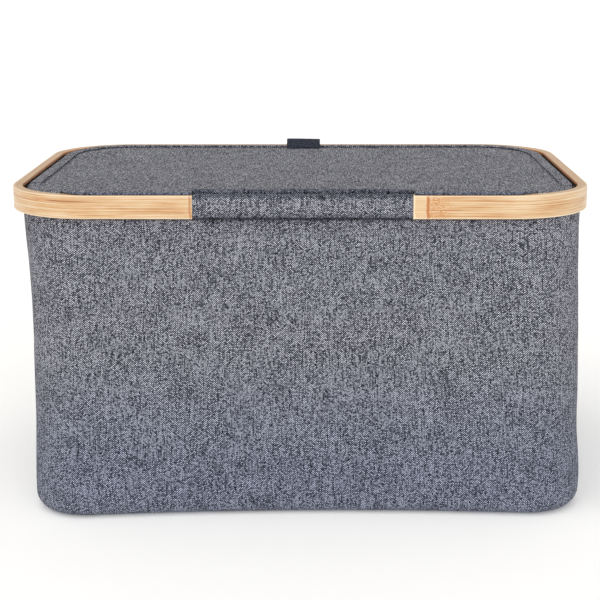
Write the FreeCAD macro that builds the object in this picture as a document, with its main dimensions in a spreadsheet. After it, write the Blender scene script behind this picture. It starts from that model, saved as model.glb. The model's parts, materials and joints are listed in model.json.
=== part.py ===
import FreeCAD, Part

import math
import os

import Sketcher

# A laundry hamper with a lid. A bent bamboo hoop is the rim of a boarded fabric box, and a
# fabric-covered lid lies inside the hoop, hinged by a fabric strip at the hoop's near side.
# Origin: the middle of the bottom face. +Z is up, -Y is the hinge side, X runs along the hinge.
# Every plan outline is the hoop's outer outline moved inwards by an inset.

QUARTER_TURN = math.pi / 2

DRIVING_SIZES = (
    # name, millimetres, what it is
    ("rim_width", 600, "hoop, outside, along X"),
    ("rim_depth", 400, "hoop, outside, along Y"),
    ("corner_radius", 88, "hoop, outside corner radius"),
    ("rim_top", 343, "hoop's upper edge above the floor"),
    ("rim_height", 24, "height of the bamboo strip"),
    ("rim_thick", 10, "thickness of the bamboo strip"),
    ("edge_round", 1.5, "rounding of the strip's long edges"),
    ("scarf_run", 40, "length of the hoop's slanted end joint"),
    ("scarf_gap", 1.6, "glue line of the end joint, along X"),
    ("rivet_radius", 1.5, "rivets through the end joint"),
    ("rivet_spacing", 16, "between the two rivet columns"),
    ("sleeve_width", 219.5, "sleeve, roll and leaf along X"),
    ("sleeve_shift", 4.4, "middle of the sleeve, roll and leaf, from the hoop's middle to +X"),
    ("sleeve_thick", 1.4, "fabric of the sleeve"),
    ("sleeve_gap", 0.2, "sleeve's inside to the hoop's recess"),
    ("layer_gap", 0.2, "between neighbouring layers"),
    ("hem_thick", 1.2, "fabric of the top hem"),
    ("hem_top", 332, "hem's upper fold, where the lid rests"),
    ("hem_inner_bottom", 307, "lower edge of the hem's inner layer"),
    ("hoop_thick", 3.4, "inner clamping strip"),
    ("hoop_height", 11, "height of the inner strip"),
    ("screw_radius", 1.4, "hem screw shank"),
    ("screw_head_radius", 3.2, "hem screw head"),
    ("screw_head_height", 0.9, "hem screw head"),
    ("screw_bite", 5, "depth that a hem screw enters the hoop"),
    ("long_side_screw", 150, "hem screws of the long sides from the middle"),
    ("short_side_screw", 60, "hem screws of the short sides from the middle"),
    ("wall_inset", 8, "outer fabric behind the hoop's face"),
    ("wall_thick", 1.5, "outer fabric"),
    ("wall_top", 318.8, "top of the outer fabric, just below the hoop"),
    ("floor_round", 18, "outer fabric's turn under the box"),
    ("board_thick", 1.6, "wall boards"),
    ("board_bottom", 22, "lower edge of the wall boards"),
    ("board_top", 316, "upper edge of the wall boards"),
    ("base_thick", 4, "base board"),
    ("lining_thick", 1, "lining"),
    ("lining_round", 16, "lining's turn at the bottom"),
    ("lining_top", 318.4, "top of the lining"),
    ("lid_inset", 13, "lid's edge behind the hoop's outer face"),
    ("lid_bottom", 332.4, "underside of the closed lid"),
    ("binding_thick", 0.8, "edge binding"),
    ("binding_width", 12, "edge binding on each face of the lid"),
    ("cover_thick", 1, "each fabric face of the lid"),
    ("lid_board_thick", 4, "board inside the lid"),
    ("lid_board_inset", 16, "lid board's edge behind the hoop's outer face"),
    ("hinge_inset", 14.5, "hinge axis behind the hoop's front face"),
    ("hinge_rise", 2, "hinge axis above the hoop's upper edge"),
    ("roll_radius", 3, "rolled fabric round the hinge axis"),
    ("leaf_thick", 2.2, "hinge strip where it is sewn to the lid"),
    ("leaf_length", 22, "hinge strip on the lid, along Y"),
    ("tab_width", 41, "pull tab along X"),
    ("tab_height", 13, "pull tab above the lid"),
    ("tab_thick", 3.6, "folded tab, both layers"),
    ("tab_fold", 1.78, "rounding of the tab's fold, just under half its thickness"),
    ("tab_slot", 0.6, "gap inside the tab's fold"),
    ("tab_inset", 2.4, "tab's outer face behind the lid's edge"),
)


class Size:
    """A length with its spreadsheet expression and its present value."""

    def __init__(self, expression, value):
        self.expression = expression
        self.value = value

    def combined(self, sign, other, value):
        """The size that joins this one and another, or a plain number, by an operator."""
        right = other.expression if isinstance(other, Size) else repr(other)
        return Size(f"({self.expression} {sign} {right})", value)

    def __add__(self, other):
        return self.combined("+", other, self.value + getattr(other, "value", other))

    def __sub__(self, other):
        return self.combined("-", other, self.value - getattr(other, "value", other))

    def __mul__(self, number):
        return self.combined("*", number, self.value * number)

    def __truediv__(self, number):
        return self.combined("/", number, self.value / number)

    def __neg__(self):
        return Size(f"(-{self.expression})", -self.value)


def driving_sheet(doc):
    """Writes the driving sizes to a spreadsheet and returns them by name."""
    sheet = doc.addObject("Spreadsheet::Sheet", "sizes")
    found = {}
    for row, (name, millimetres, meaning) in enumerate(DRIVING_SIZES, start=1):
        sheet.set(f"A{row}", name)
        sheet.set(f"B{row}", str(millimetres))
        sheet.set(f"C{row}", meaning)
        sheet.setAlias(f"B{row}", name)
        found[name] = Size(f"sizes.{name}", float(millimetres))
    return found


doc = FreeCAD.newDocument("laundry_hamper")
size = driving_sheet(doc)
doc.recompute()

half_width = size["rim_width"] / 2
half_depth = size["rim_depth"] / 2
straight_half_width = half_width - size["corner_radius"]
straight_half_depth = half_depth - size["corner_radius"]
rim_bottom = size["rim_top"] - size["rim_height"]
zero = Size("0", 0.0)

# Insets of the layers at the hem, from the hoop inwards.
hem_outer = size["rim_thick"] + size["layer_gap"]
hoop_outer = hem_outer + size["hem_thick"] + size["layer_gap"]
hoop_inner = hoop_outer + size["hoop_thick"]
hem_fold_outer = hoop_inner + size["layer_gap"]
hem_inner = hem_fold_outer + size["hem_thick"]

# Insets of the layers in the walls.
board_outer = size["wall_inset"] + size["wall_thick"] + size["layer_gap"]
lining_outer = board_outer + size["board_thick"] + size["layer_gap"]
wall_turn_inset = size["wall_inset"] + size["floor_round"]
lining_turn_inset = lining_outer + size["lining_round"]
base_bottom = size["wall_thick"] + size["layer_gap"]
lining_bottom_level = base_bottom + size["base_thick"] + size["layer_gap"]

# Levels in the lid.
under_cover_bottom = size["lid_bottom"] + size["binding_thick"]
lid_board_bottom = under_cover_bottom + size["cover_thick"]
top_cover_bottom = lid_board_bottom + size["lid_board_thick"]
top_cover_top = top_cover_bottom + size["cover_thick"]
lid_top = top_cover_top + size["binding_thick"]
cover_inset = size["lid_inset"] + size["binding_thick"] + size["layer_gap"]
binding_inner = size["lid_inset"] + size["binding_width"]

hinge_y = -(half_depth - size["hinge_inset"])
hinge_z = size["rim_top"] + size["hinge_rise"]


# ---- document helpers -------------------------------------------------------------------


def bind(thing, path, length):
    """Binds one property of a document object to a size."""
    thing.setExpression(path, length.expression)


def new_body(label):
    """An empty body whose label names its file."""
    body = doc.addObject("PartDesign::Body", label)
    body.Label = label
    return body


def new_sketch(body, name, role, level=None):
    """A sketch on one of the body's own origin planes, moved along its normal if a level is given."""
    plane = next(item for item in body.Origin.OriginFeatures if item.Role == role)
    sketch = body.newObject("Sketcher::SketchObject", name)
    sketch.AttachmentSupport = [(plane, "")]
    sketch.MapMode = "FlatFace"
    if level is not None:
        bind(sketch, "AttachmentOffset.Base.z", level)
    return sketch


def drive(sketch, length, kind, *where):
    """Adds a dimension to a sketch and binds it to a size."""
    index = sketch.addConstraint(Sketcher.Constraint(kind, *where, length.value))
    bind(sketch, f"Constraints[{index}]", length)


def draw_outline(sketch, inset):
    """Draws the hoop's outer plan outline, moved inwards by an inset."""
    width = (half_width - inset) * 2
    depth = (half_depth - inset) * 2
    radius = size["corner_radius"] - inset
    centre_x = width.value / 2 - radius.value
    centre_y = depth.value / 2 - radius.value
    first = sketch.GeometryCount
    arcs = [first + 2 * quarter for quarter in range(4)]
    for quarter, (side_x, side_y) in enumerate(((1, 1), (-1, 1), (-1, -1), (1, -1))):
        centre = FreeCAD.Vector(side_x * centre_x, side_y * centre_y, 0)
        circle = Part.Circle(centre, FreeCAD.Vector(0, 0, 1), radius.value)
        start = quarter * QUARTER_TURN
        arc = Part.ArcOfCircle(circle, start, start + QUARTER_TURN)
        sketch.addGeometry(arc)
        turn = FreeCAD.Vector(-side_y * 2 * centre_x, 0, 0)
        if side_x * side_y < 0:
            turn = FreeCAD.Vector(0, side_x * 2 * centre_y, 0)
        sketch.addGeometry(Part.LineSegment(arc.EndPoint, arc.EndPoint + turn))
    for quarter, arc in enumerate(arcs):
        following = arcs[(quarter + 1) % 4]
        sketch.addConstraint(Sketcher.Constraint("Tangent", arc, 2, arc + 1, 1))
        sketch.addConstraint(Sketcher.Constraint("Tangent", arc + 1, 2, following, 1))
        flat = "Horizontal" if quarter % 2 == 0 else "Vertical"
        sketch.addConstraint(Sketcher.Constraint(flat, arc + 1))
    for arc in arcs[1:]:
        sketch.addConstraint(Sketcher.Constraint("Equal", arcs[0], arc))
    sketch.addConstraint(Sketcher.Constraint("Symmetric", arcs[0], 3, arcs[2], 3, -1, 1))
    drive(sketch, radius, "Radius", arcs[0])
    drive(sketch, width, "DistanceX", arcs[2], 1, arcs[0], 1)
    drive(sketch, depth, "DistanceY", arcs[2], 2, arcs[0], 2)


def draw_polygon(sketch, corners):
    """Draws a closed polygon whose corners are pairs of sizes from the sketch's origin."""
    points = [FreeCAD.Vector(across.value, up.value, 0) for across, up in corners]
    first = sketch.GeometryCount
    for start, end in zip(points, points[1:] + points[:1]):
        sketch.addGeometry(Part.LineSegment(start, end))
    for index, (across, up) in enumerate(corners):
        line = first + index
        following = first + (index + 1) % len(corners)
        sketch.addConstraint(Sketcher.Constraint("Coincident", line, 2, following, 1))
        drive(sketch, across, "DistanceX", -1, 1, line, 1)
        drive(sketch, up, "DistanceY", -1, 1, line, 1)


def draw_rectangle(sketch, left, right, low, high):
    """Draws a rectangle between two pairs of sizes."""
    draw_polygon(sketch, ((left, low), (right, low), (right, high), (left, high)))


def draw_circle(sketch, across, up, radius):
    """Draws a circle whose centre and radius are sizes."""
    centre = FreeCAD.Vector(across.value, up.value, 0)
    circle = sketch.addGeometry(Part.Circle(centre, FreeCAD.Vector(0, 0, 1), radius.value))
    drive(sketch, radius, "Radius", circle)
    drive(sketch, across, "DistanceX", -1, 1, circle, 3)
    drive(sketch, up, "DistanceY", -1, 1, circle, 3)


def extrude(body, kind, sketch, length, symmetric=False):
    """Adds a Pad or Pocket of a sketch. A Pocket goes against the sketch's normal."""
    feature = body.newObject(f"PartDesign::{kind}", sketch.Name + "_" + kind.lower())
    feature.Profile = sketch
    bind(feature, "Length", length)
    if symmetric:
        feature.SideType = "Symmetric"
    return feature


def round_edges(body, base, radius, wanted):
    """Fillets the edges of a feature that a test picks."""
    doc.recompute()
    fillet = body.newObject("PartDesign::Fillet", base.Name + "_fillet")
    edges = enumerate(base.Shape.Edges, start=1)
    fillet.Base = (base, [f"Edge{number}" for number, edge in edges if wanted(edge)])
    bind(fillet, "Radius", radius)
    return fillet


def lies_at(level):
    """A test for edges and faces that lie wholly at a level."""
    return lambda item: max(abs(v.Point.z - level.value) for v in item.Vertexes) < 1e-4


def add_ring(body, name, outer, inner, bottom, top):
    """Pads a plan ring, or a whole plate where there is no inner inset."""
    sketch = new_sketch(body, name, "XY_Plane", bottom)
    draw_outline(sketch, outer)
    if inner is not None:
        draw_outline(sketch, inner)
    return extrude(body, "Pad", sketch, top - bottom)


def cut_ring(body, name, outer, inner, bottom, top):
    """Cuts a plan ring out of a body, from its top level down."""
    sketch = new_sketch(body, name, "XY_Plane", top)
    draw_outline(sketch, outer)
    draw_outline(sketch, inner)
    return extrude(body, "Pocket", sketch, top - bottom)


def plate(label, inset, bottom, top):
    """A sub-part that is one flat plate in the hoop's outline."""
    body = new_body(label)
    add_ring(body, label + "_outline", inset, None, bottom, top)
    return body


def draw_turned_section(sketch, inset, turn, thickness, bottom, top):
    """Draws a wall's near section: straight down, then a quarter turn inwards at its foot."""
    centre_across = inset + turn - half_depth
    centre_up = bottom + turn
    centre = FreeCAD.Vector(centre_across.value, centre_up.value, 0)
    mouth_up = FreeCAD.Vector(0, top.value - centre.y, 0)
    arcs, walls = [], []
    for radius in (turn, turn - thickness):
        circle = Part.Circle(centre, FreeCAD.Vector(0, 0, 1), radius.value)
        bend = Part.ArcOfCircle(circle, 2 * QUARTER_TURN, 3 * QUARTER_TURN)
        arcs.append(sketch.addGeometry(bend))
        walls.append(
            sketch.addGeometry(Part.LineSegment(bend.StartPoint + mouth_up, bend.StartPoint))
        )
        drive(sketch, radius, "Radius", arcs[-1])
    lines = [sketch.Geometry[wall] for wall in walls]
    bends = [sketch.Geometry[arc] for arc in arcs]
    mouth = sketch.addGeometry(Part.LineSegment(lines[0].StartPoint, lines[1].StartPoint))
    foot = sketch.addGeometry(Part.LineSegment(bends[0].EndPoint, bends[1].EndPoint))
    for end, (arc, wall) in enumerate(zip(arcs, walls), start=1):
        sketch.addConstraint(Sketcher.Constraint("Tangent", wall, 2, arc, 1))
        sketch.addConstraint(Sketcher.Constraint("Vertical", wall))
        sketch.addConstraint(Sketcher.Constraint("Coincident", wall, 1, mouth, end))
        sketch.addConstraint(Sketcher.Constraint("Coincident", arc, 2, foot, end))
        sketch.addConstraint(Sketcher.Constraint("Vertical", arc, 2, arc, 3))
    sketch.addConstraint(Sketcher.Constraint("Horizontal", mouth))
    sketch.addConstraint(Sketcher.Constraint("Coincident", arcs[0], 3, arcs[1], 3))
    drive(sketch, centre_across, "DistanceX", -1, 1, arcs[0], 3)
    drive(sketch, centre_up, "DistanceY", -1, 1, arcs[0], 3)
    drive(sketch, top, "DistanceY", -1, 1, mouth, 1)


def turned_shell(label, inset, turn, thickness, bottom, top):
    """A wall ring that turns under at its foot: its section swept round the plan outline."""
    body = new_body(label)
    path = new_sketch(body, label + "_path", "XY_Plane", bottom)
    draw_outline(path, inset)
    section = new_sketch(body, label + "_section", "YZ_Plane")
    draw_turned_section(section, inset, turn, thickness, bottom, top)
    sweep = body.newObject("PartDesign::AdditivePipe", label + "_sweep")
    sweep.Profile = section
    sweep.Spine = (path, [])
    return body


def bound_box(label, low, high):
    """A box between two corners, each a triple of sizes."""
    box = doc.addObject("Part::Box", label)
    box.Label = label
    for side, axis, start, end in zip(("Length", "Width", "Height"), "xyz", low, high):
        bind(box, side, end - start)
        bind(box, f"Placement.Base.{axis}", start)
    return box


def bound_cylinder(name, radius, length, centre, turn):
    """A cylinder that starts at a triple of sizes and runs along a turned +Z."""
    cylinder = doc.addObject("Part::Cylinder", name)
    cylinder.Placement = FreeCAD.Placement(FreeCAD.Vector(), turn)
    bind(cylinder, "Radius", radius)
    bind(cylinder, "Height", length)
    for axis, coordinate in zip("xyz", centre):
        bind(cylinder, f"Placement.Base.{axis}", coordinate)
    return cylinder


def group(label, members):
    """One sub-part made of several separate solids."""
    compound = doc.addObject("Part::Compound", label)
    compound.Label = label
    compound.Links = members
    return compound


# ---- the hoop and what holds it ---------------------------------------------------------


def section_rectangle(sketch, skin):
    """The hoop's near cross-section in the YZ plane, shrunk by a skin on every side."""
    draw_rectangle(
        sketch,
        -(half_depth - skin),
        -(half_depth - size["rim_thick"] + skin),
        rim_bottom + skin,
        size["rim_top"] - skin,
    )


def make_rim_hoop():
    """The bent strip: a ring with soft edges, a recess for the sleeve and a scarf joint."""
    body = new_body("rim_hoop")
    ring = add_ring(body, "rim_plan", zero, size["rim_thick"], rim_bottom, size["rim_top"])
    at_top = lies_at(size["rim_top"])
    at_bottom = lies_at(rim_bottom)
    round_edges(body, ring, size["edge_round"], lambda e: at_top(e) or at_bottom(e))

    recess = new_sketch(body, "rim_recess", "YZ_Plane", size["sleeve_shift"])
    section_rectangle(recess, -size["layer_gap"])
    section_rectangle(recess, size["sleeve_thick"] + size["sleeve_gap"])
    extrude(body, "Pocket", recess, size["sleeve_width"] + size["sleeve_gap"] * 2, True)

    scarf = new_sketch(body, "rim_scarf", "XY_Plane", size["rim_top"] + size["layer_gap"])
    front = -(half_depth + size["layer_gap"])
    back = -(half_depth - size["rim_thick"] - size["layer_gap"])
    run = size["scarf_run"] / 2
    draw_polygon(
        scarf,
        (
            (-run, front),
            (-run + size["scarf_gap"], front),
            (run, back),
            (run - size["scarf_gap"], back),
        ),
    )
    extrude(body, "Pocket", scarf, size["rim_height"] + size["layer_gap"] * 2)
    return body


def make_scarf_rivets():
    """Four rivets through the strip's overlapping ends, flush under the sleeve."""
    skin = size["sleeve_thick"] + size["sleeve_gap"]
    towards_back = FreeCAD.Rotation(FreeCAD.Vector(1, 0, 0), -90)
    rivets = []
    for across in (-size["rivet_spacing"] / 2, size["rivet_spacing"] / 2):
        for up in (rim_bottom + size["rim_height"] / 3, size["rim_top"] - size["rim_height"] / 3):
            start = (across, -(half_depth - skin), up)
            length = size["rim_thick"] - skin * 2
            name = f"rivet_{len(rivets)}"
            rivets.append(bound_cylinder(name, size["rivet_radius"], length, start, towards_back))
    return group("scarf_rivets", rivets)


def make_hem_hoop():
    """The flat strip inside the hem that clamps the bag to the hoop."""
    body = new_body("hem_hoop")
    top = size["hem_top"] - size["hem_thick"] - size["layer_gap"]
    add_ring(body, "hem_hoop_plan", hoop_outer, hoop_inner, top - size["hoop_height"], top)
    return body


def make_top_hem():
    """The bag's top edge, folded over the inner strip and down inside the lining."""
    body = new_body("top_hem")
    outer_bottom = rim_bottom + size["layer_gap"]
    groove_outer = hem_outer + size["hem_thick"]
    groove_top = size["hem_top"] - size["hem_thick"]
    add_ring(body, "hem_plan", hem_outer, hem_inner, outer_bottom, size["hem_top"])
    cut_ring(body, "hem_groove", groove_outer, hem_fold_outer, outer_bottom, groove_top)
    bottom = size["hem_inner_bottom"]
    add_ring(body, "hem_inner_layer", hem_fold_outer, hem_inner, bottom, outer_bottom)
    return body


def make_hem_screws():
    """Small screws from inside, through the hem and its strip, into the hoop."""
    head_inset = hem_inner + size["screw_head_height"]
    shank = head_inset - size["screw_bite"]
    height = size["hem_top"] - size["hoop_height"] / 2
    sides = (
        (FreeCAD.Vector(0, -1, 0), size["long_side_screw"], half_depth),
        (FreeCAD.Vector(0, 1, 0), size["long_side_screw"], half_depth),
        (FreeCAD.Vector(-1, 0, 0), size["short_side_screw"], half_width),
        (FreeCAD.Vector(1, 0, 0), size["short_side_screw"], half_width),
    )
    screws = []
    for outwards, offset, half in sides:
        turn = FreeCAD.Rotation(FreeCAD.Vector(0, 0, 1), outwards)
        across = (half - head_inset) * (outwards.x + outwards.y)
        for along in (-offset, offset):
            start = (along, across, height) if outwards.x == 0 else (across, along, height)
            name = f"hem_screw_{len(screws)}"
            head = bound_cylinder(
                name + "_head", size["screw_head_radius"], size["screw_head_height"], start, turn
            )
            stem = bound_cylinder(name + "_shank", size["screw_radius"], shank, start, turn)
            screw = doc.addObject("Part::MultiFuse", name)
            screw.Shapes = [head, stem]
            screws.append(screw)
    return group("hem_screws", screws)


def make_rim_sleeve():
    """The closed fabric sleeve round the middle of the near side of the hoop."""
    body = new_body("rim_sleeve")
    section = new_sketch(body, "sleeve_section", "YZ_Plane", size["sleeve_shift"])
    section_rectangle(section, zero)
    section_rectangle(section, size["sleeve_thick"])
    extrude(body, "Pad", section, size["sleeve_width"], True)
    return body


# ---- the box ----------------------------------------------------------------------------


def make_wall_boards():
    """The four stiff boards on the flat stretches of the walls."""
    thick = size["board_thick"]
    low, high = size["board_bottom"], size["board_top"]
    outer_y, outer_x = half_depth - board_outer, half_width - board_outer
    long_side, short_side = straight_half_width, straight_half_depth
    return [
        bound_box("front_board", (-long_side, -outer_y, low), (long_side, -outer_y + thick, high)),
        bound_box("back_board", (-long_side, outer_y - thick, low), (long_side, outer_y, high)),
        bound_box("left_board", (-outer_x, -short_side, low), (-outer_x + thick, short_side, high)),
        bound_box("right_board", (outer_x - thick, -short_side, low), (outer_x, short_side, high)),
    ]


def make_box():
    """The outer fabric, the boards and the lining."""
    outer = turned_shell(
        "wall_shell",
        size["wall_inset"],
        size["floor_round"],
        size["wall_thick"],
        zero,
        size["wall_top"],
    )
    lining = turned_shell(
        "lining_wall",
        lining_outer,
        size["lining_round"],
        size["lining_thick"],
        lining_bottom_level,
        size["lining_top"],
    )
    base_top = base_bottom + size["base_thick"]
    lining_floor_top = lining_bottom_level + size["lining_thick"]
    return [
        outer,
        plate("bottom_shell", wall_turn_inset, zero, size["wall_thick"]),
        *make_wall_boards(),
        plate("base_board", wall_turn_inset, base_bottom, base_top),
        lining,
        plate("lining_bottom", lining_turn_inset, lining_bottom_level, lining_floor_top),
    ]


# ---- the lid ----------------------------------------------------------------------------


def make_lid_binding():
    """A strip folded round the left, far and right edges, open at the hinge side."""
    body = new_body("lid_binding")
    edge = size["lid_inset"]
    add_ring(body, "binding_plan", edge, binding_inner, size["lid_bottom"], lid_top)
    groove_outer = edge + size["binding_thick"]
    past_inner = binding_inner + size["layer_gap"]
    cut_ring(body, "binding_groove", groove_outer, past_inner, under_cover_bottom, top_cover_top)
    ends = new_sketch(body, "binding_ends", "XY_Plane", lid_top)
    near_end = -straight_half_depth
    draw_rectangle(ends, -half_width, half_width, -half_depth, near_end)
    extrude(body, "Pocket", ends, lid_top - size["lid_bottom"])
    return body


def make_hinge_strip():
    """Fabric rolled round the hinge axis, with a leaf sewn on the lid's near edge."""
    body = new_body("hinge_strip")
    roll = new_sketch(body, "hinge_roll", "YZ_Plane", size["sleeve_shift"])
    draw_circle(roll, hinge_y, hinge_z, size["roll_radius"])
    extrude(body, "Pad", roll, size["sleeve_width"], True)
    leaf = new_sketch(body, "hinge_leaf", "YZ_Plane", size["sleeve_shift"])
    leaf_bottom = top_cover_top + size["layer_gap"]
    draw_polygon(
        leaf,
        (
            (hinge_y, leaf_bottom),
            (hinge_y + size["leaf_length"], leaf_bottom),
            (hinge_y + size["leaf_length"], leaf_bottom + size["leaf_thick"] / 2),
            (hinge_y + size["roll_radius"] * 2, leaf_bottom + size["leaf_thick"]),
            (hinge_y + size["roll_radius"] / 2, hinge_z),
            (hinge_y, hinge_z),
        ),
    )
    extrude(body, "Pad", leaf, size["sleeve_width"], True)
    return body


def make_pull_tab():
    """A strip of webbing folded in two that stands on the lid's far edge."""
    body = new_body("pull_tab")
    profile = new_sketch(body, "tab_profile", "YZ_Plane")
    outer_face = half_depth - size["lid_inset"] - size["tab_inset"]
    inner_face = outer_face - size["tab_thick"]
    bottom = lid_top + size["layer_gap"]
    top = lid_top + size["tab_height"]
    draw_rectangle(profile, inner_face, outer_face, bottom, top)
    block = extrude(body, "Pad", profile, size["tab_width"], True)
    at_top = lies_at(top)
    along_x = lambda e: abs(e.tangentAt(0).x) > 0.99
    round_edges(body, block, size["tab_fold"], lambda e: at_top(e) and along_x(e))
    gap = new_sketch(body, "tab_gap", "YZ_Plane")
    middle = (inner_face + outer_face) / 2
    half_gap = size["tab_slot"] / 2
    draw_rectangle(gap, middle - half_gap, middle + half_gap, lid_top, top - size["tab_thick"] / 2)
    extrude(body, "Pocket", gap, size["tab_width"] + size["layer_gap"] * 2, True)
    return body


def make_lid():
    """The board, its two fabric faces, the edge binding, the hinge strip and the tab."""
    return [
        plate("lid_board", size["lid_board_inset"], lid_board_bottom, top_cover_bottom),
        plate("lid_top_cover", cover_inset, top_cover_bottom, top_cover_top),
        plate("lid_under_cover", cover_inset, under_cover_bottom, lid_board_bottom),
        make_lid_binding(),
        make_hinge_strip(),
        make_pull_tab(),
    ]


# ---- build, check, write ----------------------------------------------------------------


def check(sub_parts):
    """Stops if a feature failed, a shape is bad or a cut removed nothing."""
    for thing in doc.Objects:
        if "Invalid" in thing.State or "Error" in thing.State:
            raise RuntimeError(f"{thing.Label} did not build: {thing.State}")
        if thing.TypeId == "PartDesign::Pocket":
            removed = thing.BaseFeature.Shape.Volume - thing.Shape.Volume
            if removed < 1:
                raise RuntimeError(f"{thing.Label} cut nothing")
    for part in sub_parts:
        if part.Shape.isNull() or not part.Shape.isValid() or not part.Shape.Solids:
            raise RuntimeError(f"{part.Label} has no valid shape")


def write(sub_parts):
    """Writes one STEP file for each sub-part."""
    os.makedirs("parts", exist_ok=True)
    for part in sub_parts:
        part.Shape.exportStep(f"parts/{part.Label}.step")
        box = part.Shape.BoundBox
        print(
            f"{part.Label:16s} solids {len(part.Shape.Solids):2d}  {part.Shape.Volume:10.0f} mm3"
            f"  x {box.XMin:7.1f} {box.XMax:6.1f}  y {box.YMin:7.1f} {box.YMax:6.1f}"
            f"  z {box.ZMin:6.1f} {box.ZMax:6.1f}"
        )


sub_parts = [
    make_rim_hoop(),
    make_scarf_rivets(),
    make_hem_hoop(),
    make_top_hem(),
    make_hem_screws(),
    make_rim_sleeve(),
    *make_box(),
    *make_lid(),
]
doc.recompute()
check(sub_parts)
write(sub_parts)
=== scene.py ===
"""Looks of a lidded laundry hamper: cloth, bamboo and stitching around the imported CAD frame.

Metres, the CAD frame's axes: +X along the rim, -Y is the hinge side, +Z up.
"""

import json
import math

import bpy
import numpy as np
from mathutils import Matrix, Vector, noise


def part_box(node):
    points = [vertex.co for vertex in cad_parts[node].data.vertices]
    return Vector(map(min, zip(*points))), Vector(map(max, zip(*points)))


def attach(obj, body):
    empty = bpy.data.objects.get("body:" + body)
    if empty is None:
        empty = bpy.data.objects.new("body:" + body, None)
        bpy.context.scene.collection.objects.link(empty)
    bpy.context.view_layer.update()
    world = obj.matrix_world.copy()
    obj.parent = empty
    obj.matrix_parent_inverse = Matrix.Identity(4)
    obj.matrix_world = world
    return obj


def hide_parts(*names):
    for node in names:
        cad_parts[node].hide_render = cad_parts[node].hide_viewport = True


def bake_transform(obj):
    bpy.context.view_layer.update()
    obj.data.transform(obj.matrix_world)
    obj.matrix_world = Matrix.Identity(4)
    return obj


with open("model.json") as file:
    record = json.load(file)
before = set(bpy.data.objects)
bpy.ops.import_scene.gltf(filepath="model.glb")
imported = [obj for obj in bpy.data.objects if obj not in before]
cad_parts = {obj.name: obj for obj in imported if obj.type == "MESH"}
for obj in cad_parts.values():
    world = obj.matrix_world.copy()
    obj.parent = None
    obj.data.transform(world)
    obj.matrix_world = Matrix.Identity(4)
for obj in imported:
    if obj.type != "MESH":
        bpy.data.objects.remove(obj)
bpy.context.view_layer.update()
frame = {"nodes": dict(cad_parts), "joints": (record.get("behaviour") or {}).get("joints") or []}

# ---------------------------------------------------------------- sizes read from the frame
rim_lo, rim_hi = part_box("rim_hoop")
sleeve_lo, sleeve_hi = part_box("rim_sleeve")
strip_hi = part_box("hinge_strip")[1]
board_lo, board_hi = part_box("lid_board")
cover_lo, cover_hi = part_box("lid_top_cover")
under_lo, under_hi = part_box("lid_under_cover")
binding_lo, binding_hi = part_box("lid_binding")
tab_lo, tab_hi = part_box("pull_tab")
hem_lo, hem_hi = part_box("top_hem")
AXIS_Y, AXIS_Z = frame["joints"][0]["pos_m"][1:]

HALF_X, HALF_Y = rim_hi.x, rim_hi.y
RIM_RADIUS = 0.088
RIM_LOW, RIM_TOP = rim_lo.z, rim_hi.z
LONG_STEPS, SHORT_STEPS, ARC_STEPS = 88, 44, 20


def smooth(low, high, x):
    """0 below low, 1 above high, and a smooth step between."""
    t = np.clip((x - low) / (high - low), 0, 1)
    return t * t * (3 - 2 * t)


def curve_at(x, xs, ys):
    """The value at x of a smooth curve through the points (xs, ys)."""
    slopes = np.gradient(ys, xs)
    i = np.clip(np.searchsorted(xs, x) - 1, 0, len(xs) - 2)
    step = xs[i + 1] - xs[i]
    t = np.clip((x - xs[i]) / step, 0, 1)
    return ((2 * t**3 - 3 * t**2 + 1) * ys[i] + (t**3 - 2 * t**2 + t) * step * slopes[i]
            + (3 * t**2 - 2 * t**3) * ys[i + 1] + (t**3 - t**2) * step * slopes[i + 1])


def rumple(points, wave, seed):
    """Smooth noise from -1 to 1 at each point, with bumps about one wave long."""
    shift = Vector((seed * 3.17, seed * 1.31, seed * 7.77))
    flat = np.asarray(points, float).reshape(-1, 3) / wave
    values = [noise.noise(Vector(p) + shift) for p in flat]
    return np.array(values).reshape(np.shape(points)[:-1])


def outline(half_x, half_y, radius):
    """Points round a rounded rectangle, anticlockwise from the middle of the back, with outward directions."""
    cx, cy = half_x - radius, half_y - radius
    points, outward = [], []

    def run(start, end, steps, direction):
        for i in range(steps):
            share = i / steps
            points.append([a + (b - a) * share for a, b in zip(start, end)])
            outward.append(direction)

    def turn(centre, first):
        for i in range(ARC_STEPS):
            angle = first + math.pi / 2 * i / ARC_STEPS
            direction = (math.cos(angle), math.sin(angle))
            points.append([c + radius * d for c, d in zip(centre, direction)])
            outward.append(direction)

    run((0, half_y), (-cx, half_y), LONG_STEPS // 2, (0, 1))
    turn((-cx, cy), math.pi / 2)
    run((-half_x, cy), (-half_x, -cy), SHORT_STEPS, (-1, 0))
    turn((-cx, -cy), math.pi)
    run((-cx, -half_y), (cx, -half_y), LONG_STEPS, (0, -1))
    turn((cx, -cy), math.pi * 1.5)
    run((half_x, -cy), (half_x, cy), SHORT_STEPS, (1, 0))
    turn((cx, cy), 0)
    run((cx, half_y), (0, half_y), LONG_STEPS // 2, (0, 1))
    return np.array(points), np.array(outward)


def rim_ring(inset, z):
    """The rim's outline moved inward, at height z."""
    points, _ = outline(HALF_X - inset, HALF_Y - inset, RIM_RADIUS - inset)
    return np.column_stack([points, np.full(len(points), z)])


# ---------------------------------------------------------------- meshes
def lengths(points):
    """Distance along a line of points, from 0."""
    return np.concatenate([[0], np.cumsum(np.linalg.norm(np.diff(points, axis=0), axis=1))])


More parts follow.
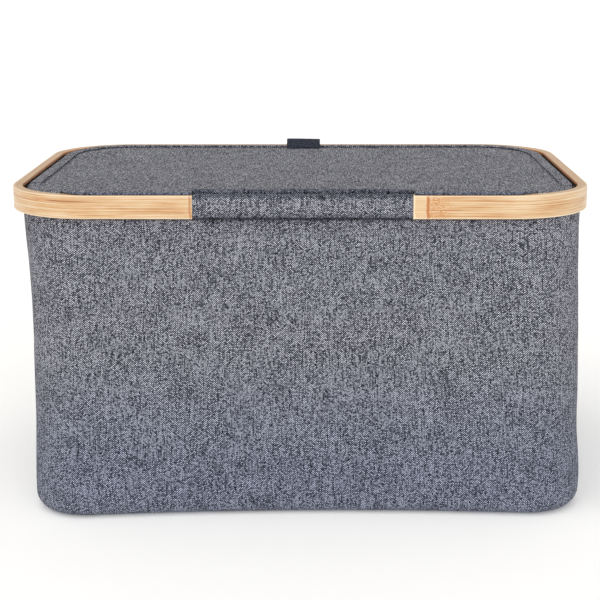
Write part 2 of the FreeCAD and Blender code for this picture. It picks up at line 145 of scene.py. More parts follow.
def new_piece(name, vertices, faces, uvs, material):
    """A smooth mesh object with a UV map called cloth, in metres of cloth."""
    mesh = bpy.data.meshes.new(name)
    mesh.from_pydata([tuple(v) for v in vertices], [], faces)
    if uvs is not None:
        layer = mesh.uv_layers.new(name="cloth")
        layer.data.foreach_set("uv", np.asarray(uvs, np.float32).ravel())
    mesh.polygons.foreach_set("use_smooth", [True] * len(faces))
    mesh.materials.append(material)
    mesh.validate()
    piece = bpy.data.objects.new(name, mesh)
    bpy.context.scene.collection.objects.link(piece)
    return piece


def surface(name, grid, material, closed=False, uv=None, flip=False):
    """A piece from rows of points. Its faces look to the right of the way the columns go, rows downward."""
    grid = np.asarray(grid, float)
    rows, columns = grid.shape[:2]
    wide = columns + 1 if closed else columns
    if uv is None:
        middle = grid[rows // 2]
        across = lengths(np.vstack([middle, middle[:1]]) if closed else middle)
        down = lengths(grid[:, columns // 2])
        uv = np.stack(np.meshgrid(across, -down), axis=-1)
    faces, uvs = [], []
    for i in range(rows - 1):
        for j in range(wide - 1):
            corners = [(i, j), (i + 1, j), (i + 1, j + 1), (i, j + 1)]
            if flip:
                corners.reverse()
            faces.append([a * columns + b % columns for a, b in corners])
            uvs += [uv[a, b] for a, b in corners]
    return new_piece(name, grid.reshape(-1, 3), faces, uvs, material)


def thicken(piece, thickness, offset=-1.0):
    """Gives cloth its thickness, inward of its faces."""
    solid = piece.modifiers.new("thickness", "SOLIDIFY")
    solid.thickness, solid.offset = thickness, offset
    solid.use_even_offset = True
    return piece


def ticks(half, step, edge):
    """Grid lines from -half to half, close together near the ends as edge says."""
    inner = half - max(edge) - step * 0.5
    core = np.linspace(-inner, inner, max(2, round(2 * inner / step)) + 1)
    ends = np.array([half - e for e in edge])
    return np.concatenate([-ends, core, ends[::-1]])


EDGE = (0, 0.0003, 0.0008, 0.0015, 0.0024, 0.0036, 0.0052, 0.008, 0.0102, 0.0116, 0.0126, 0.0136, 0.0150)


def panel(half_x, half_y, radius, step=0.005):
    """A grid of (x, y) that fills a rounded rectangle, and each point's distance from its edge."""
    x, y = np.meshgrid(ticks(half_x, step, EDGE), ticks(half_y, step, EDGE))
    a, b = (np.abs(x) - half_x + radius) / radius, (np.abs(y) - half_y + radius) / radius
    corner = (a > 0) & (b > 0)
    a_in, b_in = np.where(corner, a, 0), np.where(corner, b, 0)
    round_a, round_b = a_in * np.sqrt(1 - b_in**2 / 2), b_in * np.sqrt(1 - a_in**2 / 2)
    x = np.where(corner, np.sign(x) * (half_x - radius + radius * round_a), x)
    y = np.where(corner, np.sign(y) * (half_y - radius + radius * round_b), y)
    qx, qy = np.abs(x) - half_x + radius, np.abs(y) - half_y + radius
    outside = np.hypot(np.maximum(qx, 0), np.maximum(qy, 0)) + np.minimum(np.maximum(qx, qy), 0)
    return x, y, radius - outside


def tube(name, lines, radius, material, sides=6):
    """One piece of many short round threads, each along its own line of points."""
    vertices, faces = [], []
    for line in lines:
        line = np.asarray(line, float)
        along = np.gradient(line, axis=0)
        along /= np.linalg.norm(along, axis=1)[:, None]
        aside = np.cross(along, (0.31, 0.17, 0.93))
        aside /= np.linalg.norm(aside, axis=1)[:, None]
        up = np.cross(aside, along)
        first = len(vertices)
        for k, point in enumerate(line):
            thin = 0.45 if k in (0, len(line) - 1) else 1.0
            for s in range(sides):
                angle = math.tau * s / sides
                vertices.append(point + radius * thin * (math.cos(angle) * aside[k] + math.sin(angle) * up[k]))
        for k in range(len(line) - 1):
            for s in range(sides):
                a, b = first + k * sides + s, first + k * sides + (s + 1) % sides
                faces.append([a, b, b + sides, a + sides])
        faces.append([first + s for s in range(sides)][::-1])
        faces.append([first + (len(line) - 1) * sides + s for s in range(sides)])
    return new_piece(name, vertices, faces, None, material)


def stitches(path, normals, pitch, length, rise=0.00025, sink=0.0004):
    """Short arched threads along a path, each rising a little along the normals and sinking at its ends."""
    path, normals = np.asarray(path, float), np.asarray(normals, float)
    run = lengths(path)
    lines = []
    for centre in np.arange(pitch / 2, run[-1] - pitch / 4, pitch):
        shares = np.linspace(-1, 1, 5)
        at = centre + shares * length / 2
        point = np.stack([np.interp(at, run, path[:, k]) for k in range(3)], axis=1)
        away = np.stack([np.interp(at, run, normals[:, k]) for k in range(3)], axis=1)
        lines.append(point + away * (rise - (rise + sink) * np.abs(shares) ** 3)[:, None])
    return lines


# ---------------------------------------------------------------- materials
def srgb(red, green, blue):
    """A colour given as 0-255 screen values, as the linear colour that nodes take."""
    values = [v / 255 for v in (red, green, blue)]
    return tuple(v / 12.92 if v <= 0.04045 else ((v + 0.055) / 1.055) ** 2.4 for v in values) + (1.0,)


class Shade:
    """One node material, built with short calls."""

    def __init__(self, name, **settings):
        self.material = bpy.data.materials.new(name)
        self.material.use_nodes = True
        self.tree = self.material.node_tree
        self.tree.nodes.clear()
        self.surface = self.add("ShaderNodeBsdfPrincipled")
        output = self.add("ShaderNodeOutputMaterial")
        self.tree.links.new(self.surface.outputs[0], output.inputs["Surface"])
        for socket, value in settings.items():
            self.surface.inputs[socket.replace("_", " ")].default_value = value

    def add(self, kind, **options):
        node = self.tree.nodes.new(kind)
        for key, value in options.items():
            setattr(node, key, value)
        return node

    def put(self, socket, value):
        if isinstance(value, bpy.types.NodeSocket):
            self.tree.links.new(value, socket)
        else:
            socket.default_value = value

    def math(self, operation, *values):
        node = self.add("ShaderNodeMath", operation=operation)
        for socket, value in zip(node.inputs, values):
            self.put(socket, value)
        return node.outputs[0]

    def total(self, *values):
        result = values[0]
        for value in values[1:]:
            result = self.math("ADD", result, value)
        return result

    def split(self, vector):
        node = self.add("ShaderNodeSeparateXYZ")
        self.put(node.inputs[0], vector)
        return node.outputs[0], node.outputs[1], node.outputs[2]

    def join(self, x, y, z=0.0):
        node = self.add("ShaderNodeCombineXYZ")
        for socket, value in zip(node.inputs, (x, y, z)):
            self.put(socket, value)
        return node.outputs[0]

    def cloth_uv(self):
        return self.split(self.add("ShaderNodeUVMap", uv_map="cloth").outputs[0])[:2]

    def place(self):
        return self.split(self.add("ShaderNodeTexCoord").outputs["Object"])

    def noise(self, vector, scale=1.0, detail=2.0, roughness=0.5):
        node = self.add("ShaderNodeTexNoise", noise_dimensions="3D")
        self.put(node.inputs["Vector"], vector)
        for socket, value in (("Scale", scale), ("Detail", detail), ("Roughness", roughness)):
            node.inputs[socket].default_value = value
        return node.outputs["Fac"]

    def between(self, value, low, high, start=0.0, end=1.0):
        node = self.add("ShaderNodeMapRange", interpolation_type="SMOOTHSTEP")
        for socket, number in zip(node.inputs, (value, low, high, start, end)):
            self.put(socket, number)
        return node.outputs[0]

    def ramp(self, value, *stops):
        node = self.add("ShaderNodeValToRGB")
        elements = node.color_ramp.elements
        while len(elements) < len(stops):
            elements.new(0.5)
        for element, (place, colour) in zip(elements, stops):
            element.position, element.color = place, colour
        self.put(node.inputs[0], value)
        return node.outputs[0]

    def mix(self, share, a, b, kind="MIX"):
        node = self.add("ShaderNodeMix", data_type="RGBA", blend_type=kind)
        self.put(node.inputs[0], share)
        self.put(node.inputs[6], a)
        self.put(node.inputs[7], b)
        return node.outputs[2]

    def finish(self, colour, height=None, distance=0.0004, strength=1.0, roughness=None):
        self.put(self.surface.inputs["Base Color"], colour)
        if roughness is not None:
            self.put(self.surface.inputs["Roughness"], roughness)
        if height is not None:
            bump = self.add("ShaderNodeBump")
            bump.inputs["Strength"].default_value = strength
            bump.inputs["Distance"].default_value = distance
            self.put(bump.inputs["Height"], height)
            self.put(self.surface.inputs["Normal"], bump.outputs[0])
        return self.material


def woven(shade, u, v, pitch_u, pitch_v):
    """A plain weave: its height, the numbers of the warp and weft thread, and 1 where the warp lies on top."""
    across, along = shade.math("DIVIDE", u, pitch_u), shade.math("DIVIDE", v, pitch_v)
    i, j = shade.math("FLOOR", across), shade.math("FLOOR", along)
    warp = shade.math("SINE", shade.math("MULTIPLY", across, math.pi))
    weft = shade.math("SINE", shade.math("MULTIPLY", along, math.pi))
    height = shade.math("ABSOLUTE", shade.math("MULTIPLY", warp, weft))
    over = shade.math("FLOORED_MODULO", shade.math("ADD", i, j), 2.0)
    return height, i, j, over


WARP_PITCH, WEFT_PITCH = 0.00120, 0.00108


def melange(name, shadows=None):
    """Grey melange cloth: slubby light warp and dark weft yarns in a coarse plain weave, with painted shade in the
    hollows between threads, and painted shade where shadows says.
    """
    shade = Shade(name, Roughness=0.92, Sheen_Weight=0.06, Sheen_Roughness=0.6, Sheen_Tint=(0.92, 0.86, 0.78, 1),
                  Specular_IOR_Level=0.15)
    u, v = shade.cloth_uv()
    sway_u = shade.math("MULTIPLY", shade.noise(shade.join(u, v, 6.0), scale=26.0), 0.0012)
    sway_v = shade.math("MULTIPLY", shade.noise(shade.join(u, v, 3.0), scale=26.0), 0.0012)
    height, i, j, over = woven(shade, shade.math("ADD", u, sway_u), shade.math("ADD", v, sway_v),
                               WARP_PITCH, WEFT_PITCH)
    yarns = []
    for along, aside, thread, seed, lighter in ((v, u, i, 1.0, 0.085), (u, v, j, 2.0, -0.085)):
        run = shade.noise(shade.join(shade.math("MULTIPLY", along, 600.0), shade.math("MULTIPLY", thread, 7.31), seed),
                          detail=3.0, roughness=0.75)
        slub = shade.noise(shade.join(shade.math("MULTIPLY", along, 50.0), shade.math("MULTIPLY", aside, 760.0), seed),
                           detail=2.0)
        patch = shade.noise(shade.join(u, v, seed + 6.0), scale=24.0, detail=3.0, roughness=0.6)
        tone = shade.total(shade.math("MULTIPLY", run, 0.72), shade.math("MULTIPLY", slub, 0.22),
                           shade.math("MULTIPLY", patch, 0.06), lighter)
        yarns.append((tone, shade.ramp(tone, (0.385, srgb(3, 4, 9)), (0.475, srgb(26, 28, 38)),
                                       (0.552, srgb(100, 102, 118)), (0.64, srgb(236, 238, 250)))))
    (warp_tone, warp_colour), (weft_tone, weft_colour) = yarns
    top = shade.math("MULTIPLY_ADD", over, 0.9, 0.05)
    colour = shade.mix(top, weft_colour, warp_colour)
    tone = shade.mix(top, weft_tone, warp_tone)
    # painted shade: the colour is pulled toward near black in the hollows between threads, where the weave is low
    weave_shade = shade.between(height, 0.22, 0.0, 0.0, 0.5)
    colour = shade.mix(weave_shade, colour, srgb(16, 18, 24))
    if shadows:
        for share, tint in shadows(shade, u, v):
            colour = shade.mix(share, colour, tint, "MULTIPLY")
    relief = shade.total(height, shade.math("MULTIPLY", tone, 0.6))
    return shade.finish(colour, relief, 0.0004, 0.8)


def bag_shadows(shade, u, v):
    """Painted shade: the bag's wall is dark where it meets the rim, and darker and bluer towards the foot."""
    z = shade.place()[2]
    yield shade.between(z, RIM_LOW - 0.0034, RIM_LOW - 0.0010, 0.0, 0.7), (0.16, 0.16, 0.18, 1)
    yield shade.between(z, 0.21, 0.03), (0.80, 0.85, 0.96, 1)


def flap_shadows(shade, u, v):
    """Painted shade: the flap is dark in its crease over the rim and along its lower edge."""
    wave = shade.math("MULTIPLY_ADD", shade.noise(shade.join(u, 0.0, 2.0), scale=34.0), 0.0050, -0.0025)
    at = shade.math("ADD", v, wave)
    patch = shade.between(shade.noise(shade.join(u, v, 4.0), scale=90.0, detail=3.0), 0.30, 0.62, 1.0, 0.62)
    crease = shade.math("MULTIPLY", shade.between(at, CREASE_LOW + 0.0015, CREASE_LOW - 0.0015),
                        shade.between(v, CREASE_HIGH - 0.0018, CREASE_HIGH))
    yield shade.math("MULTIPLY", crease, patch), (0.34, 0.37, 0.44, 1)
    yield shade.between(v, LOWER_EDGE - 0.0075, LOWER_EDGE - 0.0005), (0.62, 0.62, 0.66, 1)
    yield shade.between(v, LOWER_EDGE - 0.0008, LOWER_EDGE + 0.0006), (0.30, 0.30, 0.33, 1)


def lip_shadows(shade, u, v):
    """Painted shade: the lip is darker and bluer where it faces forward."""
    yield shade.between(v, -0.0060, -0.0030), (0.62, 0.68, 0.80, 1)


def plain_cloth(name, dark, light, pitch, roughness=0.85):
    """A finer plain-woven cloth of one colour."""
    shade = Shade(name, Roughness=roughness, Sheen_Weight=0.2, Sheen_Roughness=0.5)
    u, v = shade.cloth_uv()
    weave = woven(shade, u, v, pitch, pitch)[0]
    thread = shade.noise(shade.join(shade.math("MULTIPLY", u, 240.0), shade.math("MULTIPLY", v, 1400.0), 3.0))
    patch = shade.noise(shade.join(u, v, 5.0), scale=28.0, detail=3.0)
    tone = shade.total(shade.math("MULTIPLY", weave, 0.35), shade.math("MULTIPLY", thread, 0.35),
                       shade.math("MULTIPLY", patch, 0.3))
    return shade.finish(shade.ramp(tone, (0.25, dark), (0.75, light)), weave, pitch * 0.5, 0.7)


def webbing(name):
    """Narrow tape of a blue near black: fibre noise with slanting ribs."""
    shade = Shade(name, Roughness=0.85, Sheen_Weight=0.02, Sheen_Roughness=0.45, Specular_IOR_Level=0.08)
    u, v = shade.cloth_uv()
    slant = shade.math("ADD", shade.math("MULTIPLY", u, math.pi / 0.0011),
                       shade.math("MULTIPLY", v, math.pi / 0.0022))
    rib = shade.math("ABSOLUTE", shade.math("SINE", slant))
    fibre = shade.noise(shade.join(u, v, 1.0), scale=520.0, detail=3.0, roughness=0.7)
    tone = shade.total(shade.math("MULTIPLY", rib, 0.25), shade.math("MULTIPLY", fibre, 0.75))
    colour = shade.ramp(tone, (0.45, srgb(1, 1, 3)), (0.52, srgb(9, 11, 17)), (0.59, srgb(74, 79, 94)))
    return shade.finish(colour, tone, 0.0004, 0.9)


def bamboo(name):
    """One bent bamboo strip: fine grain round the hoop, a node line, flecks and satin lacquer, with painted shade in
    the gap behind its inner wall and painted highlights along its edges and beside the sleeve.
    """
    shade = Shade(name, Roughness=0.42, Coat_Weight=0.35, Coat_Roughness=0.25, Specular_IOR_Level=0.45)
    x, y, z = shade.place()
    flat_x, flat_y = HALF_X - RIM_RADIUS, HALF_Y - RIM_RADIUS
    over_x = shade.math("SUBTRACT", shade.math("ABSOLUTE", x), flat_x)
    over_y = shade.math("SUBTRACT", shade.math("ABSOLUTE", y), flat_y)
    out_x, out_y = shade.math("MAXIMUM", over_x, 0.0), shade.math("MAXIMUM", over_y, 0.0)
    reach = shade.math("SQRT", shade.total(shade.math("MULTIPLY", out_x, out_x), shade.math("MULTIPLY", out_y, out_y)))
    depth = shade.math("SUBTRACT", RIM_RADIUS, reach)
    angle = shade.math("ARCTAN2", out_y, out_x)
    along = shade.total(
        shade.math("MINIMUM", shade.math("ABSOLUTE", y), flat_y), shade.math("MULTIPLY", angle, RIM_RADIUS),
        shade.math("MAXIMUM", shade.math("MULTIPLY", over_x, -1.0), 0.0))
    side = shade.math("MULTIPLY", shade.math("SIGN", x), 0.9)
    across = shade.math("ADD", z, depth)

    def grain(per_along, per_across, seed, detail=3.0):
        vector = shade.join(shade.math("ADD", shade.math("MULTIPLY", along, per_along), side),
                            shade.math("MULTIPLY", across, per_across), seed)
        return shade.noise(vector, detail=detail, roughness=0.6)

    fibre = grain(12.0, 1150.0, 1.0, 4.0)
    band = grain(5.0, 520.0, 5.0)
    cloud = grain(14.0, 60.0, 9.0)
    tone = shade.total(shade.math("MULTIPLY", fibre, 0.46), shade.math("MULTIPLY", band, 0.30),
                       shade.math("MULTIPLY", cloud, 0.24))
    colour = shade.ramp(tone, (0.40, srgb(184, 118, 62)), (0.47, srgb(210, 164, 114)), (0.54, srgb(224, 193, 152)),
                        (0.62, srgb(238, 219, 190)))
    # darker, duller tan more than about 2 mm in from the outer face: most of the top face and the inner wall
    in_from_face = shade.between(depth, 0.0008, 0.0026)
    colour = shade.mix(shade.math("MULTIPLY", in_from_face, 0.5), colour, srgb(196, 156, 112))
    inner = shade.between(depth, 0.0094, 0.0101)
    colour = shade.mix(shade.math("MULTIPLY", inner, 0.7), colour, srgb(206, 122, 56))
    # painted shade: the inner wall is painted near black below its top few mm, where the gap between rim and lid lies
    # in shadow
    rim_gap_shade = shade.math("MULTIPLY", inner, shade.between(z, RIM_TOP - 0.0024, RIM_TOP - 0.0040))
    colour = shade.mix(rim_gap_shade, colour, srgb(26, 22, 22))
    front = shade.between(y, -HALF_Y + 0.012, -HALF_Y + 0.006)
    wobble = shade.math("MULTIPLY", shade.noise(shade.join(0.0, 0.0, z), scale=160.0), 0.004)
    node_x = sleeve_hi.x + 0.0148
    pale = shade.math("MULTIPLY", shade.between(x, sleeve_hi.x, sleeve_hi.x + 0.001),
                      shade.between(x, node_x, node_x - 0.002))
    pale = shade.math("MULTIPLY", shade.math("MULTIPLY", pale, front), 0.45)
    colour = shade.mix(pale, colour, srgb(236, 208, 168))
    # the node line; a darker orange-brown line on the bamboo beside the sleeve's left end; and a painted highlight, a
    # pale line just right of the sleeve standing in for light on a bevel
    for centre, half, share, tint in ((node_x + 0.002, 0.0022, 0.9, srgb(190, 110, 46)),
                                      (sleeve_lo.x - 0.0003, 0.0016, 0.75, srgb(184, 116, 58)),
                                      (sleeve_hi.x + 0.0030, 0.0014, 0.6, srgb(250, 232, 204))):
        line = shade.math("ABSOLUTE", shade.math("SUBTRACT", shade.math("ADD", x, wobble), centre))
        line = shade.math("MULTIPLY", shade.between(line, half, half * 0.3), front)
        colour = shade.mix(shade.math("MULTIPLY", line, share), colour, tint)
    spots = shade.noise(shade.join(shade.math("MULTIPLY", x, 420.0), 0.0, shade.math("MULTIPLY", across, 900.0)),
                        detail=1.0)
    zone = shade.math("MULTIPLY", shade.between(x, node_x + 0.001, node_x + 0.005),
                      shade.between(x, node_x + 0.028, node_x + 0.010))
    spots = shade.math("MULTIPLY", shade.math("MULTIPLY", shade.between(spots, 0.46, 0.60), zone), front)
    colour = shade.mix(shade.math("MULTIPLY", spots, 0.85), colour, srgb(200, 122, 50))
    # painted highlight: pale lines along the outer face's top and bottom edges, standing in for light caught on the
    # rounded edges
    for edge_z in (RIM_TOP - 0.0009, RIM_LOW + 0.0009):
        edge_highlight = shade.between(shade.math("ABSOLUTE", shade.math("SUBTRACT", z, edge_z)), 0.0011, 0.0003)
        edge_highlight = shade.math("MULTIPLY", edge_highlight, shade.between(depth, 0.0030, 0.0008))
        colour = shade.mix(shade.math("MULTIPLY", edge_highlight, 0.45), colour, srgb(250, 234, 208))
    streak = shade.math("ABSOLUTE", shade.math("SUBTRACT", z, RIM_TOP - 0.0062))
    streak = shade.math("MULTIPLY", shade.between(streak, 0.0013, 0.0003),
                        shade.math("MULTIPLY", shade.between(x, -0.185, -0.24), front))
    colour = shade.mix(shade.math("MULTIPLY", streak, 0.85), colour, srgb(160, 98, 48))
    height = shade.total(fibre, shade.math("MULTIPLY", band, 0.5))
    rough = shade.between(fibre, 0.3, 0.7, 0.36, 0.5)
    return shade.finish(colour, height, 0.00012, 0.5, rough)


def speckled(name, dark, light, scale, stretch=(1, 1, 1), **settings):
    """A plain material with a mottled colour, for boards, plastic and metal."""
    shade = Shade(name, **settings)
    x, y, z = shade.place()
    vector = shade.join(*[shade.math("MULTIPLY", c, s) for c, s in zip((x, y, z), stretch)])
    tone = shade.noise(vector, scale=scale, detail=4.0, roughness=0.65)
    return shade.finish(shade.ramp(tone, (0.35, dark), (0.65, light)), tone, 0.0002, 0.5)


MELANGE = melange("melange_cloth")
BAG_CLOTH = melange("melange_bag", bag_shadows)
LIP_CLOTH = melange("melange_lip", lip_shadows)
LINING = plain_cloth("lining_cloth", srgb(92, 96, 104), srgb(132, 136, 144), 0.0005)
WEBBING = webbing("dark_tape")
THREAD = plain_cloth("grey_thread", srgb(96, 98, 106), srgb(140, 142, 150), 0.0002)
DARK_THREAD = plain_cloth("dark_thread", srgb(44, 46, 54), srgb(70, 72, 82), 0.0002)
BAMBOO = bamboo("bamboo_strip")
STIFFENER = speckled("stiffener_board", srgb(196, 196, 192), srgb(222, 222, 218), 220.0, Roughness=0.6)
STRIP = speckled("plastic_strip_skin", srgb(52, 54, 58), srgb(66, 68, 72), 300.0, Roughness=0.45)
FIBREBOARD = speckled("fibreboard_grey", srgb(150, 132, 108), srgb(182, 164, 138), 420.0, Roughness=0.85)
STEEL = speckled("steel_brushed", srgb(168, 170, 174), srgb(206, 208, 212), 60.0, (1, 1, 30),
                 Roughness=0.32, Metallic=1.0)


def dress(node, material):
    """Gives a CAD node its material."""
    slots = frame["nodes"][node].data.materials
    slots.clear()
    slots.append(material)


dress("rim_hoop", BAMBOO)
dress("scarf_rivets", STEEL)
dress("hem_hoop", STRIP)
dress("hem_screws", STEEL)
dress("base_board", FIBREBOARD)

# ---------------------------------------------------------------- bag
BAG_TOP = RIM_LOW - 0.0003
FOOT = 0.0170                   # radius of the turn into the bottom
TWIST_REACH = 0.25              # how far from the middle BAG_SHAPE's twist is given
CREASE = (0.095, 0.258)         # x and z of the slanting crease in the near wall
WALL_STEP = 0.005
BOARD_INSET, LINING_INSET = 0.0017, 0.0036
# Each line: height, then half width, half depth, corner radius, how far the long walls bow in, shift to +X, twist.
BAG_SHAPE = np.array([
    (0.000, 0.2942, 0.1999, 0.066, 0.0142, 0.0084, 0.0066),
    (0.030, 0.2934, 0.1997, 0.061, 0.0130, 0.0083, 0.0057),
    (0.080, 0.2901, 0.1976, 0.060, 0.0088, 0.0072, 0.0040),
    (0.130, 0.2905, 0.1950, 0.064, 0.0062, 0.0066, 0.0023),
    (0.215, 0.2903, 0.1920, 0.072, 0.0022, 0.0047, 0.0009),
    (0.265, 0.2905, 0.1917, 0.077, 0.0010, 0.0031, 0.0004),
    (0.319, 0.2920, 0.1917, 0.080, 0.0000, 0.0015, 0.0000)])


def bag_ring(z, inward=0.0, drop=0.0):
    """The bag's outline at height z, moved inward, and lowered by drop."""
    heights, *columns = BAG_SHAPE.T
    half_x, half_y, radius, bow, shift, twist = (float(curve_at(z, heights, c)) for c in columns)
    points, outward = outline(half_x - inward, half_y - inward, radius - min(inward, 0.040))
    x, y = points[:, 0], points[:, 1]
    slack = np.clip(1 - (x / (half_x - radius * 0.35)) ** 2, 0, 1) ** 1.2
    y = y - np.sign(y) * bow * slack * smooth(0.55, 1.0, np.abs(y) / (half_y - inward))
    slack = np.clip(1 - (y / (half_y - radius * 0.35)) ** 2, 0, 1) ** 1.2
    x = x - np.sign(x) * bow * 0.35 * slack * smooth(0.8, 1.0, np.abs(x) / (half_x - inward))
    ring = np.column_stack([x + shift, y + twist * x / TWIST_REACH, np.full(len(x), z - drop)])
    loose = smooth(0.20, 0.25, np.abs(x)) * smooth(0.10, 0.13, np.abs(y))
    share = 0.0004 + 0.0007 * loose
    calm = smooth(0.0, 0.03, z) * smooth(BAG_TOP, BAG_TOP - 0.024, z)
    tall = ring * np.array([1.0, 1.0, 0.55])
    push = (rumple(tall, 0.075, 2) * share * 2 + rumple(ring, 0.028, 5) * share * 0.5) * calm
    across, up = x - CREASE[0], z - CREASE[1]
    along, aside = (across + up) * 0.7, (across - up) * 0.7
    crease = np.exp(-((aside / 0.006) ** 2)) * smooth(0.036, 0.012, np.abs(along)) * (y < -0.15)
    ring[:, :2] += outward * (push + crease * 0.0011)[:, None]
    return ring


def follow_foot(x, y):
    """Flat points moved and twisted as the bag's foot is."""
    shift, twist = BAG_SHAPE[0, 5:]
    return x + float(shift), y + float(twist) * x / TWIST_REACH


rows = [rim_ring(0.0125, BAG_TOP), rim_ring(0.0100, BAG_TOP), bag_ring(BAG_TOP, 0.0004)]
rows += [bag_ring(z) for z in np.linspace(BAG_TOP - 0.0025, FOOT, round((BAG_TOP - FOOT) / WALL_STEP))]
for angle in np.linspace(0, math.pi / 2, 10)[1:]:
    rows.append(bag_ring(FOOT, FOOT * (1 - math.cos(angle)), FOOT * math.sin(angle)))
rows.append(bag_ring(FOOT, FOOT + 0.0035, FOOT))
rows = [r + np.array([0, 0, 0.0001]) for r in rows]
bag_outer = thicken(surface("bag_outer", rows, BAG_CLOTH, closed=True), 0.0012)
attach(bag_outer, "basket")
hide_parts("wall_shell")

foot_ring = bag_ring(FOOT, FOOT + 0.0040, FOOT)
x, y, _ = panel(np.ptp(foot_ring[:, 0]) / 2 - 0.004, np.ptp(foot_ring[:, 1]) / 2 - 0.012, 0.040, 0.012)
x, y = follow_foot(x, y)
flat = np.dstack([x, y, np.full_like(x, 0.0001)])
bag_bottom = thicken(surface("bag_bottom", flat, MELANGE, uv=np.dstack([x, y])), 0.0011)
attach(bag_bottom, "basket")
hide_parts("bottom_shell")

# ---------------------------------------------------------------- wall boards and lining
CORNER_FIRST = -(LONG_STEPS // 2 + ARC_STEPS // 2)      # rolls a ring so that its seam is in a corner
flat_ring, flat_out = (np.roll(a, CORNER_FIRST, axis=0) for a in outline(HALF_X, HALF_Y, RIM_RADIUS))
BOARD_HALF_X, BOARD_HALF_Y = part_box("front_board")[1].x - 0.004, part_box("left_board")[1].y - 0.003
for node, axis, sign in (("front_board", 1, -1), ("back_board", 1, 1), ("left_board", 0, -1), ("right_board", 0, 1)):
    along = np.abs(flat_ring[:, 1 - axis])
    inside = (flat_out[:, axis] * sign > 0.99) & (along < (BOARD_HALF_X if axis else BOARD_HALF_Y))
    low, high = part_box(node)
    rows = [np.roll(bag_ring(z, BOARD_INSET), CORNER_FIRST, axis=0) for z in np.linspace(high.z, low.z, 30)]
    piece = thicken(surface(node + "_sheet", [r[inside] for r in rows], STIFFENER), 0.0013)
    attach(piece, "basket")
    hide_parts(node)

lining_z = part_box("lining_wall")[0].z
LINING_TURN = 0.014
rows = [bag_ring(z, LINING_INSET) for z in np.linspace(BAG_TOP - 0.0006, lining_z + LINING_TURN, 62)]
for angle in np.linspace(0, math.pi / 2, 7)[1:]:
    rows.append(bag_ring(lining_z + LINING_TURN, LINING_INSET + LINING_TURN * (1 - math.cos(angle)),
                         LINING_TURN * math.sin(angle)))
for inward in (0.010, 0.030):                           # runs on under the lining floor
    rows.append(bag_ring(lining_z + LINING_TURN, LINING_INSET + LINING_TURN + inward, LINING_TURN))
lining_wall = thicken(surface("lining_cup", rows, LINING, closed=True), 0.0007)
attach(lining_wall, "basket")
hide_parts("lining_wall")

x, y, _ = panel(0.272, 0.172, 0.045, 0.008)
x, y = follow_foot(x, y)
z = lining_z + 0.0010 + 0.0007 * (rumple(np.dstack([x, y, x * 0]), 0.09, 3) + 1)
lining_floor = surface("lining_floor", np.dstack([x, y, z]), LINING, uv=np.dstack([x, y]), flip=True)
thicken(lining_floor, 0.0007)
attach(lining_floor, "basket")
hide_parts("lining_bottom")

# ---------------------------------------------------------------- top hem over the inner strip
hem_path = [(0.0109, -0.0123), (0.0107, -0.009), (0.0107, -0.003), (0.0113, -0.0008), (0.0126, -0.0002),
            (0.0142, -0.0003), (0.0155, -0.0012), (0.0160, -0.0035), (0.0160, -0.009), (0.0159, -0.014),
            (0.0158, -0.019), (0.0157, -0.0225), (0.0157, -0.0248)]
rows = []
for inset, below in hem_path:
    ring = rim_ring(inset, hem_hi.z + below)
    pull = rumple(ring, 0.022, 4) * 0.00035 * smooth(-0.013, -0.001, below)
    rows.append(ring + np.array([0, 0, 1]) * pull[:, None])
top_hem = thicken(surface("top_hem_fold", rows, MELANGE, closed=True), 0.0008)
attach(top_hem, "basket")
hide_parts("top_hem")

# ---------------------------------------------------------------- lid
def lift(x, y):
    """How far the lid's sandwich is bent up: towards the hinge edge, and a little at the far edge."""
    front = 0.0052 * smooth(-0.128, -0.186, y) * (0.85 + 0.15 * smooth(0.26, 0.10, np.abs(x)))
    back = 0.0030 * smooth(0.09, 0.187, y)
    return front + back


SEAM_INSET, SEAM_DEPTH, SEAM_SPREAD = 0.0126, 0.0011, 0.0011


def lid_panel(name, lo, hi, material, top, roll):
    """One face of the lid, its edge rolled over the board."""
    x, y, inside = panel((hi.x - lo.x) / 2, (hi.y - lo.y) / 2, RIM_RADIUS - (HALF_X - hi.x))
    near = np.clip(1 - inside / roll, 0, 1)
    fall = roll * (1 - np.sqrt(np.maximum(1 - near**2, 0)))
    soft = rumple(np.dstack([x, y, x * 0]), 0.055, 7) * 0.00022 * smooth(0.0, 0.02, inside)
    seam = -SEAM_DEPTH * np.exp(-(((inside - SEAM_INSET) / SEAM_SPREAD) ** 2)) * smooth(-0.176, -0.150, y) * top
    z = (hi.z - fall if top else lo.z + fall) + lift(x, y) + soft + seam
    return surface(name, np.dstack([x, y, z]), material, uv=np.dstack([x, y]), flip=top)


lid_top = thicken(lid_panel("lid_top", cover_lo, cover_hi, MELANGE, True, 0.0030), 0.0009)
lid_under = thicken(lid_panel("lid_under", under_lo, under_hi, LINING, False, 0.0027), 0.0009)
for piece, node, slot in ((lid_top, "lid_top_cover", "melange_fabric"), (lid_under, "lid_under_cover", "lining")):
    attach(piece, "lid")
    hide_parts(node)

x, y, _ = panel(board_hi.x, board_hi.y, RIM_RADIUS - (HALF_X - board_hi.x), 0.010)
z = board_hi.z - 0.0002 + lift(x, y)
lid_board = surface("lid_panel_board", np.dstack([x, y, z]), FIBREBOARD, flip=True)
thicken(lid_board, board_hi.z - board_lo.z - 0.0004)
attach(lid_board, "lid")
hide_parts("lid_board")

